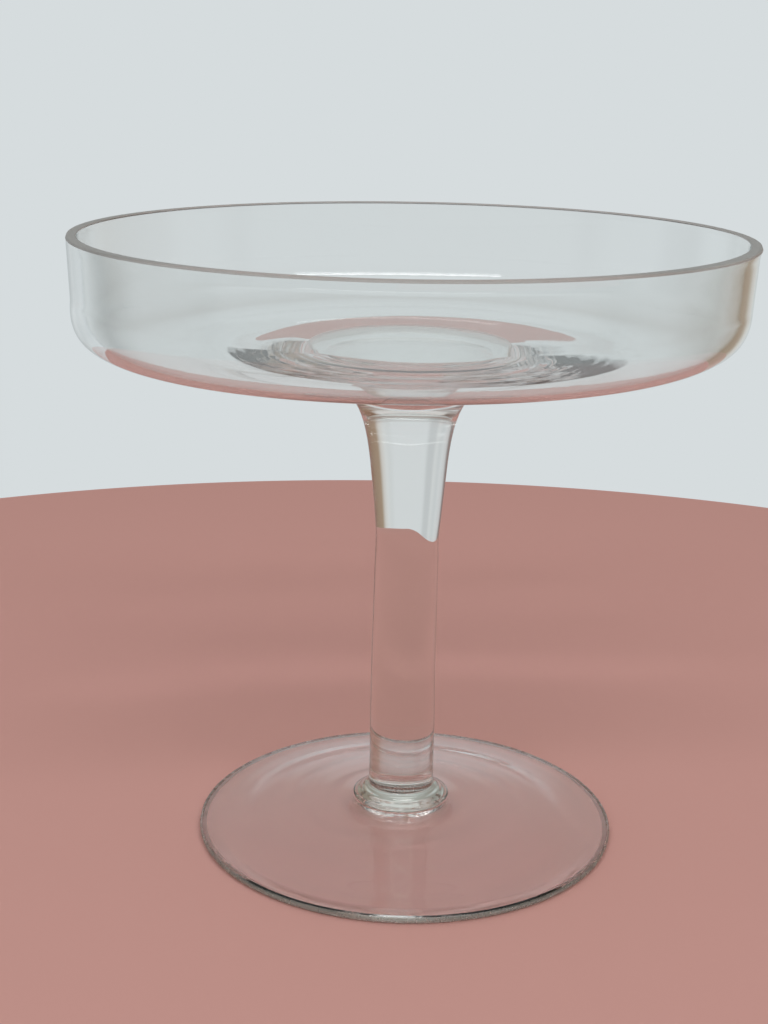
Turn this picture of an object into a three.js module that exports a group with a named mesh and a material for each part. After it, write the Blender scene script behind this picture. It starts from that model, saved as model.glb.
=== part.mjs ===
// Footed glass bowl: a wide straight-sided bowl on a trumpet-topped stem, a button and a round foot.
// Millimetres, +Z up. The origin is on the axis, in the plane that the foot stands on.
import * as THREE from 'three';

// Bowl: ground rim on a slightly spread lip, wall, rounded corner and floor
const HEIGHT = 235.5;
const RIM_RADIUS = 125;
const RIM_THICKNESS = 3.9;
const RIM_ARRIS = 0.5;
const LIP_HEIGHT = 5;
const LIP_SPREAD = 0.75;
const LIP_THICKNESS = 2.6;
const BOWL_DEPTH = 42.9;
const WALL_HEIGHT = 22.5;
const WALL_DRAFT = 1.8;
const WALL_THICKNESS = 2.85;
const CORNER_THICKNESS = 2.6;
const FLOOR_THICKNESS = 2.2;
// Shape of the corner: how far its curve keeps to the wall and to the floor before it turns
const CORNER_UPRIGHT = 0.6;
const CORNER_FLATNESS = 0.86;

// Joint under the floor: a low boss on the bowl with a flat ring round it, and the hollow that the stem closes
const BOSS_DROP = 4.1;
const BOSS_SPREAD = 28;
const BOSS_PULL = 12;
const FLAT_RING_WIDTH = 10.5;
const TRAP_MOUTH_RADIUS = 33.5;
const TRAP_DEPTH = 12.9;
const TRAP_CEILING_REACH = 3.8;
const TRAP_SIDE_BULGE = 6.1;
const TRAP_SIDE_DROP = 1.6;

// Stem: solid rod, thinnest at its waist, tapering up into a bell
const WAIST_RADIUS = 11.95;
const SHAFT_FOOT_RADIUS = 12.85;
const FLARE_LENGTH = 66;
const FLARE_TAPER = 0.09;
const FLARE_EASE = 3;
const BELL_RADIUS_GAIN = 27.6;
const BELL_LENGTH = 8.5;

// Button: collar between the stem and the foot
const BUTTON_HEIGHT = 6.7;
const BUTTON_RADIUS = 19;
const BUTTON_BEAD = 1;
const BUTTON_NECK_HEIGHT = 1.2;
// Shape of the button: how far its flare stays from the corner of neck and base, so 0.5 is straight
const BUTTON_HOLLOW = 0.38;

// Foot: spun disc, higher at its centre, hollow underneath, standing on a narrow ring
const FOOT_RADIUS = 82.3;
const FOOT_EDGE_THICKNESS = 3;
const FOOT_CENTRE_HEIGHT = 12;
const FOOT_CENTRE_THICKNESS = 4.4;
const HUB_WIDTH = 11.4;
const HUB_DROP = 2.3;
const FOOT_RING_WIDTH = 9;
const FOOT_RING_STEP = 0.4;
const HOLLOW_CROWN = 0.9;
// Shape of the foot's upper face: how much of its fall comes before halfway, and how hollow its hub is
const DISC_FALL = 0.52;
const HUB_HOLLOW = 0.33;

// Facets around the axis, along each curve and along the stem
const FACETS = 64;
const CURVE_STEPS = 6;
const STEM_STEPS = 22;
// Closeness of the stem's steps towards its bell
const STEM_STEP_EASE = 2.2;

// Heights and radii that follow from the sizes above
const undersideZ = HEIGHT - BOWL_DEPTH;
const floorZ = undersideZ + FLOOR_THICKNESS;
const wallFootZ = HEIGHT - WALL_HEIGHT;
const wallFootRadius = RIM_RADIUS - WALL_DRAFT;
const jointZ = undersideZ - BOSS_DROP;
const trapFloorZ = jointZ - TRAP_DEPTH;
const waistZ = jointZ - FLARE_LENGTH;
const stemFootZ = FOOT_CENTRE_HEIGHT + BUTTON_HEIGHT;
const stemTopRadius = stemRadius(jointZ);
const neckRadius = stemRadius(stemFootZ);
const bossRadius = stemTopRadius + BOSS_SPREAD;
const cornerRadius = bossRadius + FLAT_RING_WIDTH;
const hubRadius = BUTTON_RADIUS + HUB_WIDTH;

const glass = new THREE.MeshStandardMaterial({
  color: 0xdde6e2,
  roughness: 0.04,
  metalness: 0,
  transparent: true,
  opacity: 0.35,
});

// Radius of the stem at a height: the shaft, an eased taper above the waist, and the bell under the joint
function stemRadius(z) {
  const aboveWaist = FLARE_EASE * Math.log1p(Math.exp((z - waistZ) / FLARE_EASE));
  const belowWaist = aboveWaist - (z - waistZ);
  const shaftLength = waistZ - stemFootZ;
  const shaft = (SHAFT_FOOT_RADIUS - WAIST_RADIUS) * (belowWaist / shaftLength);
  const bell = BELL_RADIUS_GAIN * Math.exp((z - jointZ) / BELL_LENGTH);
  return WAIST_RADIUS + shaft + FLARE_TAPER * aboveWaist + bell;
}

// Turns an outline of radius against height about the Z axis, as one named piece of glass
function turnedPiece(name, outline) {
  const points = outline.getPoints(CURVE_STEPS);
  const geometry = new THREE.LatheGeometry(points, FACETS).rotateX(Math.PI / 2);
  const mesh = new THREE.Mesh(geometry, glass);
  mesh.name = name;
  return mesh;
}

// Control points of the bowl's corner, from the wall's foot to the floor, at depths inside the outer face
function cornerCurve(sideDepth, turnDepth, floorDepth) {
  const drop = CORNER_UPRIGHT * (wallFootZ - undersideZ);
  const reach = CORNER_FLATNESS * (wallFootRadius - cornerRadius);
  const tilt = Math.atan2(wallFootZ - drop - undersideZ, wallFootRadius - cornerRadius - reach);
  // The slanted middle of the control line moves in square to itself, by the depth at the turn
  const bottomZ = undersideZ + floorDepth;
  const sideRadius = wallFootRadius - sideDepth;
  const slant = (turnDepth - floorDepth * Math.cos(tilt)) / Math.sin(tilt);
  const turnRadius = cornerRadius + reach - slant;
  const turnZ = bottomZ + (sideRadius - turnRadius) * Math.tan(tilt);
  return {
    wall: new THREE.Vector2(sideRadius, wallFootZ),
    wallPull: new THREE.Vector2(sideRadius, turnZ),
    floorPull: new THREE.Vector2(turnRadius, bottomZ),
    floor: new THREE.Vector2(cornerRadius, bottomZ),
  };
}

// Bowl: blown shell with a flat ground rim, and a boss and a shallow hollow under its floor
function makeBowl() {
  const outer = cornerCurve(0, 0, 0);
  const inner = cornerCurve(WALL_THICKNESS, CORNER_THICKNESS, FLOOR_THICKNESS);
  const innerRimRadius = RIM_RADIUS - RIM_THICKNESS;
  const lipRadius = RIM_RADIUS - LIP_SPREAD;
  const lipZ = HEIGHT - LIP_HEIGHT;
  const bellSlope = FLARE_TAPER + BELL_RADIUS_GAIN / BELL_LENGTH;
  const sideRadius = TRAP_MOUTH_RADIUS + TRAP_SIDE_BULGE;
  const outline = new THREE.Path();
  outline.moveTo(0, undersideZ);
  outline.lineTo(TRAP_MOUTH_RADIUS + TRAP_CEILING_REACH, undersideZ);
  outline.quadraticCurveTo(sideRadius, undersideZ - TRAP_SIDE_DROP, TRAP_MOUTH_RADIUS, jointZ);
  outline.lineTo(stemTopRadius, jointZ);
  outline.bezierCurveTo(
    stemTopRadius + BOSS_PULL, jointZ + BOSS_PULL / bellSlope,
    bossRadius - BOSS_PULL, undersideZ,
    bossRadius, undersideZ,
  );
  outline.lineTo(outer.floor.x, outer.floor.y);
  outline.bezierCurveTo(
    outer.floorPull.x, outer.floorPull.y, outer.wallPull.x, outer.wallPull.y, outer.wall.x, outer.wall.y,
  );
  outline.lineTo(lipRadius, lipZ);
  outline.lineTo(RIM_RADIUS, HEIGHT - RIM_ARRIS);
  outline.lineTo(RIM_RADIUS - RIM_ARRIS, HEIGHT);
  outline.lineTo(innerRimRadius + RIM_ARRIS, HEIGHT);
  outline.lineTo(innerRimRadius, HEIGHT - RIM_ARRIS);
  outline.lineTo(lipRadius - LIP_THICKNESS, lipZ);
  outline.lineTo(inner.wall.x, inner.wall.y);
  outline.bezierCurveTo(
    inner.wallPull.x, inner.wallPull.y, inner.floorPull.x, inner.floorPull.y, inner.floor.x, inner.floor.y,
  );
  outline.lineTo(0, floorZ);
  return turnedPiece('bowl', outline);
}

// Stem: solid rod with a bell at the top, hollowed by a parabolic cup that the bowl's floor closes
function makeStem() {
  const outline = new THREE.Path();
  outline.moveTo(0, stemFootZ);
  for (let step = 0; step <= STEM_STEPS; step += 1) {
    const share = 1 - (1 - step / STEM_STEPS) ** STEM_STEP_EASE;
    const z = stemFootZ + (jointZ - stemFootZ) * share;
    outline.lineTo(stemRadius(z), z);
  }
  outline.lineTo(TRAP_MOUTH_RADIUS, jointZ);
  outline.quadraticCurveTo(TRAP_MOUTH_RADIUS / 2, trapFloorZ, 0, trapFloorZ);
  return turnedPiece('stem', outline);
}

// Button: turned collar with a straight neck above a hollow flare and a small bead at its base
function makeButton() {
  const beadRadius = BUTTON_RADIUS - BUTTON_BEAD;
  const beadZ = FOOT_CENTRE_HEIGHT + BUTTON_BEAD;
  const flareTopZ = stemFootZ - BUTTON_NECK_HEIGHT;
  const pullRadius = neckRadius + BUTTON_HOLLOW * (BUTTON_RADIUS - neckRadius);
  const pullZ = beadZ + BUTTON_HOLLOW * (flareTopZ - beadZ);
  const outline = new THREE.Path();
  outline.moveTo(0, FOOT_CENTRE_HEIGHT);
  outline.lineTo(beadRadius, FOOT_CENTRE_HEIGHT);
  outline.quadraticCurveTo(BUTTON_RADIUS, FOOT_CENTRE_HEIGHT, BUTTON_RADIUS, beadZ);
  outline.quadraticCurveTo(pullRadius, pullZ, neckRadius, flareTopZ);
  outline.lineTo(neckRadius, stemFootZ);
  outline.lineTo(0, stemFootZ);
  return turnedPiece('button', outline);
}

// Foot: disc with a steeper hub round the button, a rounded edge, and a hollow inside its standing ring
function makeFoot() {
  const edgeRadius = FOOT_EDGE_THICKNESS / 2;
  const ringOuter = FOOT_RADIUS - edgeRadius;
  const ringInner = ringOuter - FOOT_RING_WIDTH;
  const hollowEdge = ringInner - FOOT_RING_STEP;
  const hollowZ = FOOT_CENTRE_HEIGHT - FOOT_CENTRE_THICKNESS;
  const hubZ = FOOT_CENTRE_HEIGHT - HUB_DROP;
  const discPullZ = hubZ - DISC_FALL * (hubZ - FOOT_EDGE_THICKNESS);
  const hubPullRadius = BUTTON_RADIUS + HUB_HOLLOW * HUB_WIDTH;
  const hubPullZ = hubZ + HUB_HOLLOW * HUB_DROP;
  const outline = new THREE.Path();
  outline.moveTo(0, hollowZ);
  outline.quadraticCurveTo(hubRadius, hollowZ - HOLLOW_CROWN, hollowEdge, FOOT_RING_STEP);
  outline.lineTo(ringInner, 0);
  outline.lineTo(ringOuter, 0);
  outline.absarc(ringOuter, edgeRadius, edgeRadius, -Math.PI / 2, Math.PI / 2, false);
  outline.quadraticCurveTo((hubRadius + ringOuter) / 2, discPullZ, hubRadius, hubZ);
  outline.quadraticCurveTo(hubPullRadius, hubPullZ, BUTTON_RADIUS, FOOT_CENTRE_HEIGHT);
  outline.lineTo(0, FOOT_CENTRE_HEIGHT);
  return turnedPiece('foot', outline);
}

const footedBowl = new THREE.Group();
footedBowl.name = 'footed_bowl';
footedBowl.add(makeBowl(), makeStem(), makeButton(), makeFoot());

export default footedBowl;
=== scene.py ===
# Looks of a clear glass footed bowl: four turned pieces of glass on a plain pale top, in soft light.
import math
from typing import Callable, NamedTuple

import bpy
import numpy as np
from mathutils import Matrix


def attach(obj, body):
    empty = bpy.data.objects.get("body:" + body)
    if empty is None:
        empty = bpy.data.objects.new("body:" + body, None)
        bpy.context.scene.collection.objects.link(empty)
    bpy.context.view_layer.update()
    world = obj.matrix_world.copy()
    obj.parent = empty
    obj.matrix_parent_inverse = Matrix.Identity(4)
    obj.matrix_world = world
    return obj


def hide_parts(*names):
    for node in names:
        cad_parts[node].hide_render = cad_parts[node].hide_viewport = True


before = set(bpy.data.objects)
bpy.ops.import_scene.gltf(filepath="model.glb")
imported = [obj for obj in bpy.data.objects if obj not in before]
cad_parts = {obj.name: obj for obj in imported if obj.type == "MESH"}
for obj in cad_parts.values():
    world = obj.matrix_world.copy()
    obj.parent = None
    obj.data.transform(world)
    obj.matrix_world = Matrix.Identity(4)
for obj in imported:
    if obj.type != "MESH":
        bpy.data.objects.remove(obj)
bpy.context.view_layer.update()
scene = bpy.context.scene
MM = 0.001

# Bowl, in millimetres; a pair is a radius and a height
HEIGHT = 235.5
RIM_RADIUS = 125.0
RIM_THICKNESS = 3.9
RIM_BEVEL = 0.9
RIM_BEVEL_WIDTH = 0.35
RIM_ARRIS = 0.3
LIP_FOOT_Z = 232.0
UNDERSIDE_Z = 192.6
FLOOR_Z = 194.8
WALL_FOOT = (123.2, 213.0)
INNER_WALL_FOOT = (120.35, 213.0)
WALL_SLOPE = 0.06
INNER_WALL_SLOPE = 0.074
CORNER_RADIUS = 84.0
# Points that the corner's outer and inner curves are drawn towards
CORNER_START_RADIUS = 117.8
CORNER_END = (123.2, 200.8)
INNER_CORNER_START = (120.36, 201.21)
INNER_CORNER_END_RADIUS = 116.14

# Boss and air trap under the bowl's floor
JOINT_Z = 188.5
TRAP_MOUTH_RADIUS = 33.5
TRAP_FLOOR_Z = 175.6
TRAP_ROOF_RADIUS = 37.3
TRAP_SHOULDER_RADIUS = 39.5
TRAP_SIDE = (38.5, 190.6)
BOSS_RUN = 13.5
BACK_BOSS_Z = 192.55
BACK_BOSS_BEND_RADIUS = 57.3
BACK_BOSS_END_RADIUS = 68.0
FRONT_BOSS_Z = 191.0
FRONT_BOSS_BEND = (70.0, 191.9)

# Stem
STEM_FOOT_Z = 18.7
WAIST_Z = 122.5
WAIST_RADIUS = 11.95
SHAFT_FOOT_RADIUS = 12.85
FLARE_TAPER = 0.09
FLARE_EASE = 3.0
BELL_RADIUS_GAIN = 27.6
BELL_LENGTH = 8.5

# Button
BUTTON_RADIUS = 19.0
BUTTON_BASE_RADIUS = 18.0
BUTTON_BEAD_Z = 13.0
BUTTON_HOLLOW = (15.2, 14.7)
BUTTON_NECK_Z = 17.5

# Foot
FOOT_CENTRE_Z = 12.0
FOOT_RADIUS = 82.3
FOOT_EDGE_THICKNESS = 3.0
DISC_BEND = (55.6, 6.2)
HUB_RADIUS = 30.4
HUB_Z = 9.7
HUB_BEND = (22.8, 10.5)
HOLLOW_Z = 7.6
HOLLOW_DROP = 0.9
HOLLOW_EDGE_Z = 0.75
FOOT_RING_INNER = 71.8
RING_SLOPE_WIDTH = 4.0
RING_ROUNDING = 0.2
RING_FLAT_FROM = 2.5
SCUFFED_WIDTH = 1.6
WORN_TURN = math.radians(40.0)

# Fineness of the meshes: segments round the axis, and rows of the longest curves
BOWL_SEGMENTS = 296
STEM_SEGMENTS = 192
FOOT_SEGMENTS = 256
BOSS_ROWS = 81
STEM_ROWS = 121
STEM_CROWDING = 1.9
NOSE_ROWS = 33
AXIS_RADIUS = 1e-6

# Material slots of a piece: clear glass, fused faces, a worked or worn edge, and the scuffed ring
GLASS, JOINT, EDGE, RING = range(4)


def srgb(red, green, blue):
    """Linear colour of an 8-bit display colour."""
    part = np.array((red, green, blue)) / 255.0
    low = part / 12.92
    high = ((part + 0.055) / 1.055) ** 2.4
    return tuple(float(x) for x in np.where(part <= 0.04045, low, high)) + (1.0,)


def line(start, end, steps=1):
    """Points of a straight stretch of an outline."""
    share = np.linspace(0.0, 1.0, steps + 1)[:, None]
    return (1.0 - share) * np.array(start, float) + share * np.array(end, float)


def curve(points, steps):
    """Points of a quadratic or cubic Bezier stretch of an outline."""
    share = np.linspace(0.0, 1.0, steps + 1)[:, None]
    level = [np.array(p, float)[None, :] * np.ones_like(share) for p in points]
    while len(level) > 1:
        level = [(1.0 - share) * a + share * b for a, b in zip(level, level[1:])]
    return level[0]


def stem_radius(z):
    """Radius of the stem at a height: shaft, eased taper above the waist, and bell."""
    above = FLARE_EASE * np.log1p(np.exp((z - WAIST_Z) / FLARE_EASE))
    below = above - (z - WAIST_Z)
    shaft = (SHAFT_FOOT_RADIUS - WAIST_RADIUS) * below / (WAIST_Z - STEM_FOOT_Z)
    bell = BELL_RADIUS_GAIN * np.exp((z - JOINT_Z) / BELL_LENGTH)
    return WAIST_RADIUS + shaft + FLARE_TAPER * above + bell


STEM_TOP = float(stem_radius(JOINT_Z))
STEM_NECK = float(stem_radius(STEM_FOOT_Z))

# Unevenness of the hand-made glass, in millimetres: the rim, wall and corner on each side
FRONT_RIM_RADIUS = 124.75
FRONT_INNER_RIM = 121.75
LEFT_WALL_FULLNESS = 1.0
LEFT_CORNER_FULLNESS = (3.7, -2.0)
SIDE_WALL_THICKENING = 1.05
SIDE_CORNER_THICKENING = (-2.4, 1.2)
RIGHT_WALL_SWELL = 0.9
RIGHT_CORNER_SWELL = (-0.3, 0.1)
# Shares of these at the lip, and of the corner's at its upper end
LEFT_LIP_SHARE = 0.6
SIDE_LIP_SHARE = 1.27
RIGHT_LIP_SHARE = 1.0
CORNER_END_SHARE = 0.6
# Angles in degrees: the middle and half width of a side, or its limits and the softness of each
LEFT_SIDE = (200.0, 85.0)
LOW_FLARE_SIDE = (-40.0, 50.0)
RIGHT_SIDE = (-105.0, 8.0, 70.0, 40.0)
# Sines of the angle where the sides and the near side fade to the back, and the softness
SIDES_TO_BACK = 0.6
NEAR_TO_BACK = 0.2
NEAR_SOFTNESS = 0.6
# Reach of the boss and its gains to the right and to the front, and where its front form takes over
BACK_BOSS_REACH = (74.0, 8.0, 9.5)
FRONT_BOSS_REACH = (73.6, 6.5, 7.8)
FRONT_BOSS_TO_BACK = 0.35
FRONT_BOSS_TO_RIGHT = 0.2
FRONT_BOSS_SOFTNESS = 0.6
# Ripples: height, radians for a millimetre along the outline, waves in a turn, and phase
FLOOR_RIPPLES = ((0.010, 1.25, 2.0, 0.0), (0.008, 0.83, -3.0, 1.0))
UNDERSIDE_RIPPLES = ((0.012, 1.05, -2.0, 0.5), (0.008, 1.6, 3.0, 0.0))
STEM_STREAKS = ((0.030, 0.0, 5.0, 0.8), (0.022, 1 / 70, 9.0, 2.1), (0.014, -1 / 90, 15.0, 0.4))
FOOT_RIPPLES = ((0.03, 0.7, 2.0, 0.0),)
EDGE_RIPPLES = ((0.06, 0.0, 7.0, 0.4), (0.03, 0.0, 13.0, 2.0))
# Rings: height, radius of a crest, radians for a millimetre, and how they wander: amount, waves and phase
BUTTON_RINGS = (0.1, 14.2, 2.9, 0.3, 2.0, 0.0)
FOOT_RINGS = (0.09, 32.0, 0.37, 0.25, 1.0, 0.6)
# Radii or heights between which each shows, and the softness at either end
FLOOR_RIPPLE_REACH = (40.0, CORNER_RADIUS, 8.0, 12.0)
UNDERSIDE_RIPPLE_REACH = (STEM_TOP, CORNER_RADIUS, 6.0, 12.0)
STREAK_REACH = (20.0, 184.0, 15.0, 15.0)
FULL_SHAFT_REACH = (22.0, 122.0, 30.0, 14.0)
LOW_FLARE_REACH = (114.0, 175.0, 16.0, 40.0)
BUTTON_RING_REACH = (13.0, BUTTON_RADIUS, 1.5, 1.5)
FOOT_RING_REACH = (21.0, 80.0, 6.0, 8.0)
# Fuller shaft and flare, and how far the stem's foot and the disc lie off the axis
SHAFT_FULLNESS = 0.22
FLARE_BULGE = 1.3
STEM_FOOT_OFFSET = -0.5
LEAN_TOP_Z = 118.0
LEAN_LENGTH = 50.0
FOOT_OFFSET = 1.2
SHIFT_START_RADIUS = 20.0
SHIFT_WIDTH = 30.0


def ease(share):
    """0 to 1 with soft ends."""
    share = np.clip(share, 0.0, 1.0)
    return share * share * (3.0 - 2.0 * share)


def within(value, start, end, start_softness, end_softness):
    """1 between two limits, falling softly to 0 at each."""
    return ease((value - start) / start_softness) * ease((end - value) / end_softness)


def near_angle(angle, middle, width):
    """1 at an angle in degrees, falling softly to 0 at a width on either side."""
    away = np.abs((np.degrees(angle) - middle + 180.0) % 360.0 - 180.0)
    return ease(1.0 - away / width)


def ripples(waves, angle, along):
    """How far a surface stands out where several ripples cross."""
    return sum(
        height * np.sin(rate * along + turns * angle + phase)
        for height, rate, turns, phase in waves
    )


def rings(form, angle, radius):
    """How far a surface stands out where rings run round it."""
    height, crest, rate, wander, turns, phase = form
    return height * np.cos((radius - crest) * rate + wander * np.sin(turns * angle + phase))


class Stretch(NamedTuple):
    """Part of a turned outline: its points, material slot, ripples, and (other points, share) bends.

    A ripple gives how far the surface stands out; a share says how much of a bend there is at an angle.
    """

    points: np.ndarray
    slot: int = GLASS
    wave: Callable | None = None
    bends: tuple = ()


class Row(NamedTuple):
    """One point of a whole outline, with its ripple and bends."""

    point: np.ndarray
    wave: Callable | None
    bends: list


def joined_rows(stretches):
    """Rows of the whole outline, the slots between them, and the rows where the slot changes."""
    rows, slots, changes = [], [], set()
    for order, stretch in enumerate(stretches):
        if order and stretch.slot != stretches[order - 1].slot:
            changes.add(len(rows) - 1)
        for place in range(1 if order else 0, len(stretch.points)):
            point = stretch.points[place]
            bends = [(other[place] - point, share) for other, share in stretch.bends]
            rows.append(Row(point, stretch.wave, bends))
        slots += [stretch.slot] * (len(stretch.points) - 1)
    return rows, slots, changes


def turned_rows(rows, segments, drift):
    """Vertices of the rows turned about Z, and the indices of each row's."""
    angle = np.arange(segments) * (2.0 * math.pi / segments)
    run = np.gradient(np.array([row.point for row in rows]), axis=0)
    run /= np.maximum(np.linalg.norm(run, axis=1), 1e-9)[:, None]
    verts, indices = [], []
    for row, (along, up) in zip(rows, run):
        radius, height = row.point
        off_x, off_y = drift(radius, height)
        if radius < AXIS_RADIUS:
            indices.append(np.full(segments, len(verts)))
            verts.append((off_x, off_y, height))
            continue
        swell = row.wave(angle, radius, height) if row.wave else np.zeros(segments)
        reach = radius + swell * up
        level = height - swell * along
        for (outward, upward), share in row.bends:
            reach = reach + outward * share(angle)
            level = level + upward * share(angle)
        indices.append(np.arange(len(verts), len(verts) + segments))
        verts += list(zip(off_x + reach * np.cos(angle), off_y + reach * np.sin(angle), level))
    return verts, indices


def row_faces(indices, slots):
    """Faces between each row and the next, and their slots."""
    faces, face_slots = [], []
    for low, high, slot in zip(indices, indices[1:], slots):
        for corners in zip(low, np.roll(low, -1), np.roll(high, -1), high):
            face = tuple(dict.fromkeys(int(c) for c in corners))
            if len(face) > 2:
                faces.append(face)
                face_slots.append(slot)
    return faces, face_slots


def turned_piece(name, stretches, materials, node, segments, drift):
    """A closed piece turned about Z, whose rows may drift off the axis."""
    rows, slots, changes = joined_rows(stretches)
    verts, indices = turned_rows(rows, segments, drift)
    faces, face_slots = row_faces(indices, slots)
    mesh = bpy.data.meshes.new(name)
    mesh.from_pydata([tuple(MM * x for x in v) for v in verts], [], faces)
    mesh.polygons.foreach_set("material_index", face_slots)
    mesh.polygons.foreach_set("use_smooth", [True] * len(faces))
    row_of = np.full(len(verts), -1)
    for place in changes:
        row_of[indices[place]] = place
    ends = np.empty(2 * len(mesh.edges), np.int32)
    mesh.edges.foreach_get("vertices", ends)
    ends = row_of[ends.reshape(-1, 2)]
    mesh.edges.foreach_set("use_edge_sharp", (ends[:, 0] >= 0) & (ends[:, 0] == ends[:, 1]))
    mesh.update()
    for material in materials:
        mesh.materials.append(material)
    piece = bpy.data.objects.new(name, mesh)
    scene.collection.objects.link(piece)
    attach(piece, "root")
    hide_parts(node)
    return piece


# Looks of the glass: tints for light that crosses a piece, and where its edges start to look dense
GLASS_IOR = 1.5
BOWL_TINT = (0.945, 0.957, 0.953)
STEM_TINT = (0.93, 0.945, 0.935)
BUTTON_TINT = (0.82, 0.88, 0.83)
FOOT_TINT = (0.95, 0.98, 0.99)
EDGE_TINT = (0.22, 0.26, 0.25)
BOWL_EDGE_FROM = 0.85
STEM_EDGE_FROM = 0.62
EDGE_FULL = 0.97
# Faint smudges and ripples: features per metre and detail of the pattern, and heights in metres
SMUDGES = (45.0, 5.0)
SMUDGE_RANGE = (0.5, 0.8)
SMUDGE_ROUGHNESS = (0.0, 0.05)
RIPPLES = (110.0, 2.0)
RIPPLE_HEIGHT = 0.00001
# Ground rim
GRINDING = (1500.0, 4.0)
GRINDING_RANGE = (0.3, 0.7)
GRINDING_DEPTH = 0.00004
GROUND_CLEARNESS = 0.4
GROUND_DARK = (0.4, 0.41, 0.4)
GROUND_LIGHT = (0.6, 0.61, 0.6)
GROUND_ROUGHNESS = (0.38, 0.6)
# Worn edge and scuffed ring of the foot
SCUFFS = (260.0, 5.0)
SCUFF_RANGE = (0.35, 0.7)
WORN_TINT = (0.46, 0.47, 0.43)
WORN_CLEARNESS = 0.72
WORN_ROUGHNESS = (0.12, 0.4)
RING_ROUGHNESS = (0.5, 0.75)


def new_material(name):
    """An empty node material, with its output."""
    material = bpy.data.materials.new(name)
    material.use_nodes = True
    nodes = material.node_tree.nodes
    nodes.clear()
    return material, nodes, material.node_tree.links, nodes.new("ShaderNodeOutputMaterial")


def noise(nodes, links, place, scale, detail):
    """A soft random pattern, with its features per metre."""
    pattern = nodes.new("ShaderNodeTexNoise")
    pattern.inputs["Scale"].default_value = scale
    pattern.inputs["Detail"].default_value = detail
    links.new(place, pattern.inputs["Vector"])
    return pattern.outputs["Fac"]


def spread(nodes, links, value, source, target=(0.0, 1.0)):
    """A value brought softly from one range to another."""
    step = nodes.new("ShaderNodeMapRange")
    step.interpolation_type = "SMOOTHSTEP"
    step.inputs["From Min"].default_value, step.inputs["From Max"].default_value = source
    step.inputs["To Min"].default_value, step.inputs["To Max"].default_value = target
    links.new(value, step.inputs["Value"])
    return step.outputs["Result"]


def blend_colours(nodes, links, share, first, second):
    """One colour turning into another."""
    ramp = nodes.new("ShaderNodeValToRGB")
    ramp.color_ramp.elements[0].color = (*first, 1.0)
    ramp.color_ramp.elements[1].color = (*second, 1.0)
    links.new(share, ramp.inputs["Fac"])
    return ramp.outputs["Color"]


def bump(nodes, links, shader, height, distance):
    """Fine relief of a surface."""
    relief = nodes.new("ShaderNodeBump")
    relief.inputs["Distance"].default_value = distance
    links.new(height, relief.inputs["Height"])
    links.new(relief.outputs["Normal"], shader.inputs["Normal"])


def glass_shader(nodes, links, output, tint, edge_from):
    """Glass that is denser where it is seen edge on, with faint smudges and ripples."""
    place = nodes.new("ShaderNodeTexCoord").outputs["Object"]
    shader = nodes.new("ShaderNodeBsdfPrincipled")
    shader.inputs["IOR"].default_value = GLASS_IOR
    shader.inputs["Transmission Weight"].default_value = 1.0
    weight = nodes.new("ShaderNodeLayerWeight")
    weight.inputs["Blend"].default_value = 0.5
    edge = spread(nodes, links, weight.outputs["Facing"], (edge_from, EDGE_FULL))
    links.new(blend_colours(nodes, links, edge, tint, EDGE_TINT), shader.inputs["Base Color"])
    smudge = noise(nodes, links, place, *SMUDGES)
    links.new(spread(nodes, links, smudge, SMUDGE_RANGE, SMUDGE_ROUGHNESS), shader.inputs["Roughness"])
    bump(nodes, links, shader, noise(nodes, links, place, *RIPPLES), RIPPLE_HEIGHT)
    links.new(shader.outputs["BSDF"], output.inputs["Surface"])
    return shader


def glass_material(name, tint, edge_from):
    """Clear glass with a trace of grey-green."""
    material, nodes, links, output = new_material(name)
    glass_shader(nodes, links, output, tint, edge_from)
    return material


def joint_material():
    """The fused face between two pieces, which light crosses as if it weren't there."""
    material, nodes, links, output = new_material("fused_joint")
    shader = nodes.new("ShaderNodeBsdfTransparent")
    links.new(shader.outputs["BSDF"], output.inputs["Surface"])
    return material


def ground_material():
    """Ground glass of the rim: matt, with fine grinding marks."""
    material, nodes, links, output = new_material("ground_glass")
    place = nodes.new("ShaderNodeTexCoord").outputs["Object"]
    marks = noise(nodes, links, place, *GRINDING)
    shader = nodes.new("ShaderNodeBsdfPrincipled")
    shader.inputs["IOR"].default_value = GLASS_IOR
    shader.inputs["Transmission Weight"].default_value = GROUND_CLEARNESS
    links.new(blend_colours(nodes, links, marks, GROUND_DARK, GROUND_LIGHT), shader.inputs["Base Color"])
    links.new(spread(nodes, links, marks, GRINDING_RANGE, GROUND_ROUGHNESS), shader.inputs["Roughness"])
    bump(nodes, links, shader, marks, GRINDING_DEPTH)
    links.new(shader.outputs["BSDF"], output.inputs["Surface"])
    return material


def worn_material(name, tint, clearness, roughness):
    """Glass dulled by use."""
    material, nodes, links, output = new_material(name)
    shader = glass_shader(nodes, links, output, tint, BOWL_EDGE_FROM)
    shader.inputs["Transmission Weight"].default_value = clearness
    place = nodes.new("ShaderNodeTexCoord").outputs["Object"]
    scuffs = noise(nodes, links, place, *SCUFFS)
    links.new(spread(nodes, links, scuffs, SCUFF_RANGE, roughness), shader.inputs["Roughness"])
    return material


# The underside round the stem, as it runs at the back and at the front
BACK_BOSS = curve(
    [
        (STEM_TOP, JOINT_Z),
        (STEM_TOP + BOSS_RUN, BACK_BOSS_Z),
        (BACK_BOSS_BEND_RADIUS, UNDERSIDE_Z),
        (BACK_BOSS_END_RADIUS, UNDERSIDE_Z),
    ],
    steps=200,
)
FRONT_BOSS = curve(
    [
        (STEM_TOP, JOINT_Z),
        (STEM_TOP + BOSS_RUN, FRONT_BOSS_Z),
        FRONT_BOSS_BEND,
        (CORNER_RADIUS, UNDERSIDE_Z),
    ],
    steps=200,
)


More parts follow.
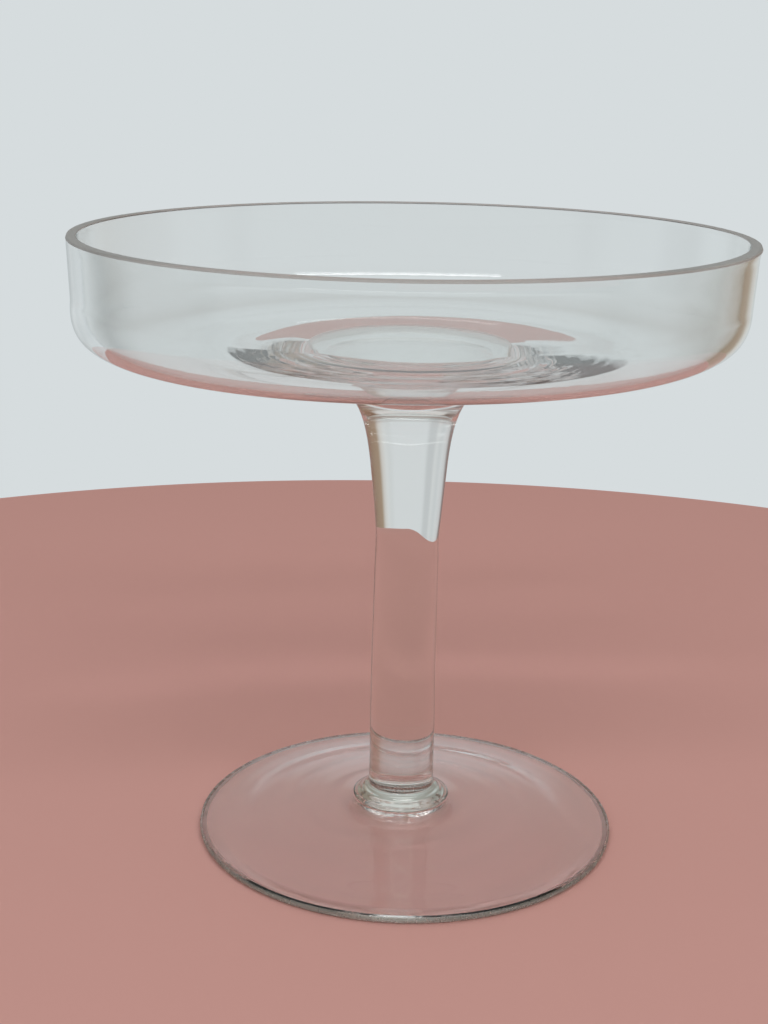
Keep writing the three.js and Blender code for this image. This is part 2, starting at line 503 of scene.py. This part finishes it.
def boss_height(outline, radius, reach):
    """Height of the underside where its outline is drawn out to a reach."""
    drawn = STEM_TOP + (radius - STEM_TOP) * (outline[-1, 0] - STEM_TOP) / (reach - STEM_TOP)
    return np.interp(drawn, outline[:, 0], outline[:, 1])


def boss_reach(angle, form):
    """How far the boss runs out at an angle."""
    reach, to_right, to_front = form
    return reach + to_right * np.cos(angle) - to_front * np.sin(angle)


def boss_lean(angle, radius, height):
    """The boss soon runs out flat at the back, and runs on straighter to the front and right."""
    back = boss_height(BACK_BOSS, radius, boss_reach(angle, BACK_BOSS_REACH))
    front = boss_height(FRONT_BOSS, radius, boss_reach(angle, FRONT_BOSS_REACH))
    limit = FRONT_BOSS_TO_BACK + FRONT_BOSS_TO_RIGHT * np.clip(np.cos(angle), 0.0, 1.0)
    share = ease((limit - np.sin(angle)) / FRONT_BOSS_SOFTNESS)
    return height - (1.0 - share) * back - share * front


def on_left(angle):
    """The left side of the bowl, a little to the front, where it is fullest."""
    return near_angle(angle, *LEFT_SIDE)


def on_sides(angle):
    """The left and right sides, where the bowl is thickest."""
    return np.cos(angle) ** 2 * ease(SIDES_TO_BACK - np.sin(angle))


def on_right(angle):
    """The right side towards the viewer, where the wall swells inwards and thins quickly to the back."""
    degrees = (np.degrees(angle) + 180.0) % 360.0 - 180.0
    return within(degrees, *RIGHT_SIDE)


def on_near_side(angle):
    """1 towards the viewer, 0 on the far side."""
    return ease((NEAR_TO_BACK - np.sin(angle)) / NEAR_SOFTNESS)


def floor_wave(angle, radius, height):
    """Faint ripples left by turning, on the near part of the bowl's floor."""
    fade = on_near_side(angle) * within(radius, *FLOOR_RIPPLE_REACH)
    return fade * ripples(FLOOR_RIPPLES, angle, radius)


def underside_wave(angle, radius, height):
    """The uneven boss, with ripples like those of the floor."""
    fade = on_near_side(angle) * within(radius, *UNDERSIDE_RIPPLE_REACH)
    return boss_lean(angle, radius, height) + fade * ripples(UNDERSIDE_RIPPLES, angle, radius)


def stem_wave(angle, radius, height):
    """Faint upright streaks, a fuller shaft, and a flare that starts lower at the front right."""
    streaks = ripples(STEM_STREAKS, angle, height) * within(height, *STREAK_REACH)
    fuller = SHAFT_FULLNESS * within(height, *FULL_SHAFT_REACH)
    low_flare = near_angle(angle, *LOW_FLARE_SIDE) * within(height, *LOW_FLARE_REACH)
    return streaks + fuller + FLARE_BULGE * low_flare


def button_wave(angle, radius, height):
    """Low rings turned round the button's top."""
    return within(radius, *BUTTON_RING_REACH) * rings(BUTTON_RINGS, angle, radius)


def foot_wave(angle, radius, height):
    """Soft rings left by spinning the foot."""
    fade = within(radius, *FOOT_RING_REACH)
    return fade * (rings(FOOT_RINGS, angle, radius) + ripples(FOOT_RIPPLES, angle, radius))


def edge_wave(angle, radius, height):
    """The foot's edge, not quite even above the face that it stands on."""
    return ease(height) * ripples(EDGE_RIPPLES, angle, height)


def no_drift(radius, height):
    """Rows that lie on the axis."""
    return 0.0, 0.0


def stem_drift(radius, height):
    """The stem leans a little to the left at its foot."""
    return STEM_FOOT_OFFSET * float(ease((LEAN_TOP_Z - height) / LEAN_LENGTH)), 0.0


def foot_drift(radius, height):
    """The foot's disc lies a little to the right of the stem."""
    share = float(ease((radius - SHIFT_START_RADIUS) / SHIFT_WIDTH))
    return STEM_FOOT_OFFSET + (FOOT_OFFSET - STEM_FOOT_OFFSET) * share, 0.0


def outer_outline(rim, fullness=0.0, lip_share=0.0, corner=(0.0, 0.0)):
    """Corner, wall and lip of the bowl's outer side, more or less full."""
    rise_to_lip = LIP_FOOT_Z - WALL_FOOT[1]
    wall_foot = (WALL_FOOT[0] + fullness, WALL_FOOT[1])
    lip_foot = (WALL_FOOT[0] + WALL_SLOPE * rise_to_lip + fullness * lip_share, LIP_FOOT_Z)
    corner_start = (CORNER_START_RADIUS + corner[0], UNDERSIDE_Z + corner[1])
    corner_end = (
        CORNER_END[0] + corner[0] * CORNER_END_SHARE,
        CORNER_END[1] + corner[1] * CORNER_END_SHARE,
    )
    return (
        curve([(CORNER_RADIUS, UNDERSIDE_Z), corner_start, corner_end, wall_foot], steps=48),
        line(wall_foot, lip_foot, steps=12),
        line(lip_foot, (rim, HEIGHT - RIM_BEVEL), steps=3),
    )


def inner_outline(rim, fullness=0.0, lip_share=0.0, corner=(0.0, 0.0)):
    """Lip, wall and corner of the bowl's inner side, more or less full."""
    rise_to_lip = LIP_FOOT_Z - INNER_WALL_FOOT[1]
    wall_foot = (INNER_WALL_FOOT[0] + fullness, INNER_WALL_FOOT[1])
    lip_foot = (INNER_WALL_FOOT[0] + INNER_WALL_SLOPE * rise_to_lip + fullness * lip_share, LIP_FOOT_Z)
    corner_start = (
        INNER_CORNER_START[0] + corner[0] * CORNER_END_SHARE,
        INNER_CORNER_START[1] + corner[1] * CORNER_END_SHARE,
    )
    corner_end = (INNER_CORNER_END_RADIUS + corner[0], FLOOR_Z + corner[1])
    return (
        line((rim, HEIGHT - RIM_ARRIS), lip_foot, steps=3),
        line(lip_foot, wall_foot, steps=12),
        curve([wall_foot, corner_start, corner_end, (CORNER_RADIUS, FLOOR_Z)], steps=48),
    )


def rim_outline(outer, inner):
    """The ground rim: a bevel outside, the flat top, and a small arris inside."""
    bevel_top = (outer - RIM_BEVEL_WIDTH, HEIGHT)
    arris_top = (inner + RIM_ARRIS, HEIGHT)
    return (
        line((outer, HEIGHT - RIM_BEVEL), bevel_top, steps=2),
        line(bevel_top, arris_top, steps=6),
        line(arris_top, (inner, HEIGHT - RIM_ARRIS), steps=2),
    )


def bent_stretches(plain, slot, *bends):
    """Stretches of a plain outline, each with its part of the (other outline, share) bends."""
    return [
        Stretch(points, slot, None, tuple((other[order], share) for other, share in bends))
        for order, points in enumerate(plain)
    ]


def outer_stretches():
    """Outer side of the bowl, with its bends to the left and at the sides."""
    plain = outer_outline(FRONT_RIM_RADIUS)
    left = outer_outline(FRONT_RIM_RADIUS, LEFT_WALL_FULLNESS, LEFT_LIP_SHARE, LEFT_CORNER_FULLNESS)
    sides = outer_outline(RIM_RADIUS)
    return bent_stretches(plain, GLASS, (left, on_left), (sides, on_sides))


def rim_stretches():
    """Ground rim of the bowl, with its bends at the sides and to the right."""
    plain = rim_outline(FRONT_RIM_RADIUS, FRONT_INNER_RIM)
    sides = rim_outline(RIM_RADIUS, RIM_RADIUS - RIM_THICKNESS)
    right = rim_outline(FRONT_RIM_RADIUS, FRONT_INNER_RIM - RIGHT_WALL_SWELL)
    return bent_stretches(plain, EDGE, (sides, on_sides), (right, on_right))


def inner_stretches():
    """Inner side of the bowl, with its bends to the left, at the sides and to the right."""
    side_rim = RIM_RADIUS - RIM_THICKNESS
    right_rim = FRONT_INNER_RIM - RIGHT_WALL_SWELL
    plain = inner_outline(FRONT_INNER_RIM)
    left = inner_outline(FRONT_INNER_RIM, LEFT_WALL_FULLNESS, LEFT_LIP_SHARE, LEFT_CORNER_FULLNESS)
    sides = inner_outline(side_rim, -SIDE_WALL_THICKENING, SIDE_LIP_SHARE, SIDE_CORNER_THICKENING)
    right = inner_outline(right_rim, -RIGHT_WALL_SWELL, RIGHT_LIP_SHARE, RIGHT_CORNER_SWELL)
    return bent_stretches(plain, GLASS, (left, on_left), (sides, on_sides), (right, on_right))


def make_bowl(joint):
    """The bowl: trap and boss under its floor, corner, wall, ground rim, and the inside."""
    trap_mouth = (TRAP_MOUTH_RADIUS, JOINT_Z)
    trap_roof = (TRAP_ROOF_RADIUS, UNDERSIDE_Z)
    trap_side = [trap_roof, (TRAP_SHOULDER_RADIUS, UNDERSIDE_Z), TRAP_SIDE, trap_mouth]
    boss_r = np.linspace(STEM_TOP, CORNER_RADIUS, BOSS_ROWS)
    boss_z = boss_height(BACK_BOSS, boss_r, BACK_BOSS_END_RADIUS)
    stretches = [
        Stretch(line((0, UNDERSIDE_Z), trap_roof, steps=12)),
        Stretch(curve(trap_side, steps=20)),
        Stretch(line(trap_mouth, (STEM_TOP, JOINT_Z)), JOINT),
        Stretch(np.stack([boss_r, boss_z], 1), GLASS, underside_wave),
        *outer_stretches(),
        *rim_stretches(),
        *inner_stretches(),
        Stretch(line((CORNER_RADIUS, FLOOR_Z), (0, FLOOR_Z), steps=84), GLASS, floor_wave),
    ]
    glass = glass_material("bowl_glass", BOWL_TINT, BOWL_EDGE_FROM)
    materials = (glass, joint, ground_material())
    turned_piece("glass_bowl", stretches, materials, "bowl", BOWL_SEGMENTS, no_drift)


def make_stem(joint):
    """The stem: shaft, flare and bell, and the cup of the air trap in its top."""
    share = np.linspace(0.0, 1.0, STEM_ROWS)
    stem_z = STEM_FOOT_Z + (JOINT_Z - STEM_FOOT_Z) * (1.0 - (1.0 - share) ** STEM_CROWDING)
    cup = [(TRAP_MOUTH_RADIUS, JOINT_Z), (TRAP_MOUTH_RADIUS / 2, TRAP_FLOOR_Z), (0, TRAP_FLOOR_Z)]
    stretches = [
        Stretch(line((0, STEM_FOOT_Z), (STEM_NECK, STEM_FOOT_Z)), JOINT),
        Stretch(np.stack([stem_radius(stem_z), stem_z], 1), GLASS, stem_wave),
        Stretch(line((STEM_TOP, JOINT_Z), (TRAP_MOUTH_RADIUS, JOINT_Z)), JOINT),
        Stretch(curve(cup, steps=48)),
    ]
    glass = glass_material("stem_glass", STEM_TINT, STEM_EDGE_FROM)
    turned_piece("glass_stem", stretches, (glass, joint), "stem", STEM_SEGMENTS, stem_drift)


def make_button(joint):
    """The button: a rounded collar drawn up into a short neck."""
    bead_top = (BUTTON_RADIUS, BUTTON_BEAD_Z)
    neck_foot = (STEM_NECK, BUTTON_NECK_Z)
    bead = [(BUTTON_BASE_RADIUS, FOOT_CENTRE_Z), (BUTTON_RADIUS, FOOT_CENTRE_Z), bead_top]
    stretches = [
        Stretch(line((0, FOOT_CENTRE_Z), (BUTTON_BASE_RADIUS, FOOT_CENTRE_Z)), JOINT),
        Stretch(curve(bead, steps=12)),
        Stretch(curve([bead_top, BUTTON_HOLLOW, neck_foot], steps=48), GLASS, button_wave),
        Stretch(line(neck_foot, (STEM_NECK, STEM_FOOT_Z), steps=4)),
        Stretch(line((STEM_NECK, STEM_FOOT_Z), (0, STEM_FOOT_Z)), JOINT),
    ]
    glass = glass_material("button_glass", BUTTON_TINT, STEM_EDGE_FROM)
    turned_piece("glass_button", stretches, (glass, joint), "button", STEM_SEGMENTS, stem_drift)


def make_foot(joint):
    """The foot: hollow underside, standing ring, rounded edge, disc and hub."""
    edge = FOOT_EDGE_THICKNESS / 2
    turn = np.linspace(-math.pi / 2, math.pi / 2, NOSE_ROWS)
    nose = np.stack([FOOT_RADIUS - edge + edge * np.cos(turn), edge + edge * np.sin(turn)], 1)
    worn = np.searchsorted(turn, WORN_TURN)
    hollow_edge = (FOOT_RING_INNER - RING_SLOPE_WIDTH, HOLLOW_EDGE_Z)
    ring_bend = (FOOT_RING_INNER + RING_ROUNDING, RING_ROUNDING)
    ring_start = (FOOT_RING_INNER + RING_FLAT_FROM, 0.0)
    scuffed_start = (FOOT_RADIUS - edge - SCUFFED_WIDTH, 0.0)
    disc_edge = (FOOT_RADIUS - edge, FOOT_EDGE_THICKNESS)
    hub = (HUB_RADIUS, HUB_Z)
    hub_top = (BUTTON_RADIUS, FOOT_CENTRE_Z)
    button_base = (BUTTON_BASE_RADIUS, FOOT_CENTRE_Z)
    stretches = [
        Stretch(curve([(0, HOLLOW_Z), (HUB_RADIUS, HOLLOW_Z - HOLLOW_DROP), hollow_edge], steps=32)),
        Stretch(curve([hollow_edge, ring_bend, ring_start], steps=10)),
        Stretch(line(ring_start, scuffed_start, steps=4)),
        Stretch(line(scuffed_start, (FOOT_RADIUS - edge, 0.0), steps=2), RING),
        Stretch(nose[:worn + 1], EDGE, edge_wave),
        Stretch(nose[worn:], GLASS, edge_wave),
        Stretch(curve([disc_edge, DISC_BEND, hub], steps=64), GLASS, foot_wave),
        Stretch(curve([hub, HUB_BEND, hub_top], steps=20), GLASS, foot_wave),
        Stretch(line(hub_top, button_base, steps=2)),
        Stretch(line(button_base, (0, FOOT_CENTRE_Z)), JOINT),
    ]
    glass = glass_material("foot_glass", FOOT_TINT, BOWL_EDGE_FROM)
    worn_edge = worn_material("worn_glass", WORN_TINT, WORN_CLEARNESS, WORN_ROUGHNESS)
    worn_ring = worn_material("scuffed_glass", FOOT_TINT, 1.0, RING_ROUGHNESS)
    materials = (glass, joint, worn_edge, worn_ring)
    turned_piece("glass_foot", stretches, materials, "foot", FOOT_SEGMENTS, foot_drift)


# Camera: the photograph's viewing angle, its place in millimetres and its angles in degrees
FOCAL_PX = 1632.8
FRAME_HEIGHT_PX = 1024
SENSOR_HEIGHT = 36.0
NEAR_CLIP = 0.01
CAMERA_PLACE = (0.0, -601.5, 301.7)
CAMERA_YAW = -0.863
CAMERA_PITCH = 15.988
CAMERA_ROLL = 0.935


def pose_matrix(right, upward, backward, place):
    """Matrix of an object from its three axes and its place in metres."""
    matrix = np.eye(4)
    matrix[:3, 0], matrix[:3, 1], matrix[:3, 2], matrix[:3, 3] = right, upward, backward, place
    return Matrix(matrix.tolist())


def make_camera():
    """The camera, from its place and its three angles."""
    yaw, pitch, roll = (math.radians(x) for x in (CAMERA_YAW, CAMERA_PITCH, CAMERA_ROLL))
    ahead = math.cos(pitch)
    forward = np.array((math.sin(yaw) * ahead, math.cos(yaw) * ahead, -math.sin(pitch)))
    level = np.array((math.cos(yaw), -math.sin(yaw), 0.0))
    upward = np.cross(level, forward)
    right = math.cos(roll) * level + math.sin(roll) * upward
    top = math.cos(roll) * upward - math.sin(roll) * level
    camera = bpy.data.objects.new("camera", bpy.data.cameras.new("camera"))
    camera.data.sensor_fit = "VERTICAL"
    camera.data.sensor_height = SENSOR_HEIGHT
    camera.data.lens = FOCAL_PX * SENSOR_HEIGHT / FRAME_HEIGHT_PX
    camera.data.clip_start = NEAR_CLIP
    camera.matrix_world = pose_matrix(right, top, -forward, MM * np.array(CAMERA_PLACE))
    scene.collection.objects.link(camera)
    scene.camera = camera


# Stage: a plain round top, in millimetres, whose edge rows have a share of its size and a depth
TOP_RADIUS = 602.0
TOP_CENTRE_Y = -67.0
TOP_Z = -0.2
TOP_EDGE_ROWS = ((1.0, 0.0), (1.008, -20.0), (1.008, -50.0))
TOP_SEGMENTS = 256
TOP_COLOUR = srgb(216, 165, 158)
TOP_ROUGHNESS = 0.9
TOP_GLOSS = 0.1
# Surroundings by compass angle, 0 behind the bowl and 90 to its right: at eye level, and higher up
LEVEL_COLOURS = [
    (-180, (176, 174, 170)), (-120, (180, 180, 178)), (-112, (132, 130, 126)), (-100, (182, 185, 185)),
    (-80, (188, 192, 194)), (-71, (124, 125, 124)), (-57, (126, 128, 127)), (-50, (204, 210, 212)),
    (-42, (212, 218, 220)), (-36, (202, 209, 211)), (-29, (212, 217, 218)), (-25, (196, 202, 204)),
    (-19, (196, 202, 204)), (-15, (214, 220, 222)), (14, (214, 220, 222)), (19, (208, 214, 215)),
    (24, (214, 218, 218)), (30, (206, 205, 200)), (36, (158, 140, 119)), (64, (128, 108, 86)),
    (76, (140, 122, 102)), (86, (184, 180, 174)), (100, (182, 179, 174)), (112, (126, 116, 104)),
    (122, (178, 176, 172)), (180, (176, 174, 170)),
]
HIGH_COLOURS = [
    (-180, (168, 165, 160)), (-125, (160, 160, 158)), (-108, (104, 101, 95)), (-94, (112, 110, 104)),
    (-80, (176, 180, 178)), (-58, (164, 166, 164)), (-32, (150, 146, 141)), (-12, (176, 175, 172)),
    (10, (178, 176, 173)), (30, (150, 141, 132)), (55, (134, 114, 92)), (90, (124, 102, 78)),
    (110, (122, 100, 76)), (128, (160, 154, 146)), (180, (168, 165, 160)),
]
# Sine of the elevation where the higher part starts and is full, and the same for the ceiling
HIGH_RISE = (0.2, 0.32)
CEILING_RISE = (0.7, 0.83)
CEILING_COLOUR = srgb(221, 222, 220)
# Lamp: a long soft window above the viewer, in metres and watts
LAMP_PLACE = (0.15, -1.25, 1.55)
LAMP_AIM = (0.0, 0.0, 0.2)
LAMP_SIZE = (2.6, 0.2)
LAMP_POWER = 14.0


def make_top():
    """The plain pale top that the bowl stands on."""
    angle = np.arange(TOP_SEGMENTS) * (2.0 * math.pi / TOP_SEGMENTS)
    x = MM * TOP_RADIUS * np.cos(angle)
    y = MM * (TOP_CENTRE_Y + TOP_RADIUS * np.sin(angle))
    verts = []
    for size, depth in TOP_EDGE_ROWS:
        verts += [(a * size, b * size, MM * (TOP_Z + depth)) for a, b in zip(x, y)]
    faces = [tuple(range(TOP_SEGMENTS))]
    for row in range(len(TOP_EDGE_ROWS) - 1):
        for k in range(TOP_SEGMENTS):
            a = row * TOP_SEGMENTS + k
            b = row * TOP_SEGMENTS + (k + 1) % TOP_SEGMENTS
            faces.append((a, a + TOP_SEGMENTS, b + TOP_SEGMENTS, b))
    mesh = bpy.data.meshes.new("top")
    mesh.from_pydata(verts, [], faces)
    material, nodes, links, output = new_material("pale_top")
    shader = nodes.new("ShaderNodeBsdfPrincipled")
    shader.inputs["Base Color"].default_value = TOP_COLOUR
    shader.inputs["Roughness"].default_value = TOP_ROUGHNESS
    shader.inputs["Specular IOR Level"].default_value = TOP_GLOSS
    links.new(shader.outputs["BSDF"], output.inputs["Surface"])
    mesh.materials.append(material)
    top = bpy.data.objects.new("top", mesh)
    scene.collection.objects.link(top)


def compass_light(nodes, links, share, colours):
    """Light of the surroundings by compass angle."""
    ramp = nodes.new("ShaderNodeValToRGB")
    elements = ramp.color_ramp.elements
    for order, (degrees, colour) in enumerate(colours):
        at = (degrees + 180) / 360
        element = elements[order] if order < 2 else elements.new(at)
        element.position = at
        element.color = srgb(*colour)
    links.new(share, ramp.inputs["Fac"])
    light = nodes.new("ShaderNodeBackground")
    links.new(ramp.outputs["Color"], light.inputs["Color"])
    return light.outputs[0]


def mix_light(nodes, links, share, first, second):
    """One light turning into another."""
    mix = nodes.new("ShaderNodeMixShader")
    links.new(share, mix.inputs["Fac"])
    links.new(first, mix.inputs[1])
    links.new(second, mix.inputs[2])
    return mix.outputs[0]


def make_world():
    """Soft surroundings: cool and pale behind the bowl, darker and warmer at the sides, pale overhead."""
    world = bpy.data.worlds.new("surroundings")
    scene.world = world
    world.use_nodes = True
    nodes, links = world.node_tree.nodes, world.node_tree.links
    nodes.clear()
    place = nodes.new("ShaderNodeTexCoord")
    parts = nodes.new("ShaderNodeSeparateXYZ")
    links.new(place.outputs["Generated"], parts.inputs[0])
    turn = nodes.new("ShaderNodeMath")
    turn.operation = "ARCTAN2"
    links.new(parts.outputs["X"], turn.inputs[0])
    links.new(parts.outputs["Y"], turn.inputs[1])
    compass = nodes.new("ShaderNodeMapRange")
    compass.inputs["From Min"].default_value = -math.pi
    compass.inputs["From Max"].default_value = math.pi
    links.new(turn.outputs[0], compass.inputs["Value"])
    level = compass_light(nodes, links, compass.outputs["Result"], LEVEL_COLOURS)
    high = compass_light(nodes, links, compass.outputs["Result"], HIGH_COLOURS)
    ceiling = nodes.new("ShaderNodeBackground")
    ceiling.inputs["Color"].default_value = CEILING_COLOUR
    walls = mix_light(nodes, links, spread(nodes, links, parts.outputs["Z"], HIGH_RISE), level, high)
    overhead = spread(nodes, links, parts.outputs["Z"], CEILING_RISE)
    room = mix_light(nodes, links, overhead, walls, ceiling.outputs[0])
    output = nodes.new("ShaderNodeOutputWorld")
    links.new(room, output.inputs["Surface"])


def make_lamp():
    """A soft window of light that faces the bowl."""
    data = bpy.data.lights.new("strip", "AREA")
    data.shape = "RECTANGLE"
    data.size, data.size_y = LAMP_SIZE
    data.energy = LAMP_POWER
    backward = np.array(LAMP_PLACE) - np.array(LAMP_AIM)
    backward /= np.linalg.norm(backward)
    side = np.cross((0.0, 0.0, 1.0), backward)
    side /= np.linalg.norm(side)
    lamp = bpy.data.objects.new("strip", data)
    lamp.matrix_world = pose_matrix(side, np.cross(backward, side), backward, LAMP_PLACE)
    scene.collection.objects.link(lamp)


def set_light_paths():
    """Bounces enough for light to cross every wall, while light caught in thick glass dies out."""
    scene.view_settings.view_transform = "Standard"
    scene.cycles.max_bounces = 36
    scene.cycles.transmission_bounces = 32
    scene.cycles.glossy_bounces = 18
    scene.cycles.transparent_max_bounces = 24
    scene.cycles.sample_clamp_indirect = 4.0
    scene.cycles.blur_glossy = 0.0


fused = joint_material()
make_bowl(fused)
make_stem(fused)
make_button(fused)
make_foot(fused)
make_camera()
make_top()
make_world()
make_lamp()
set_light_paths()
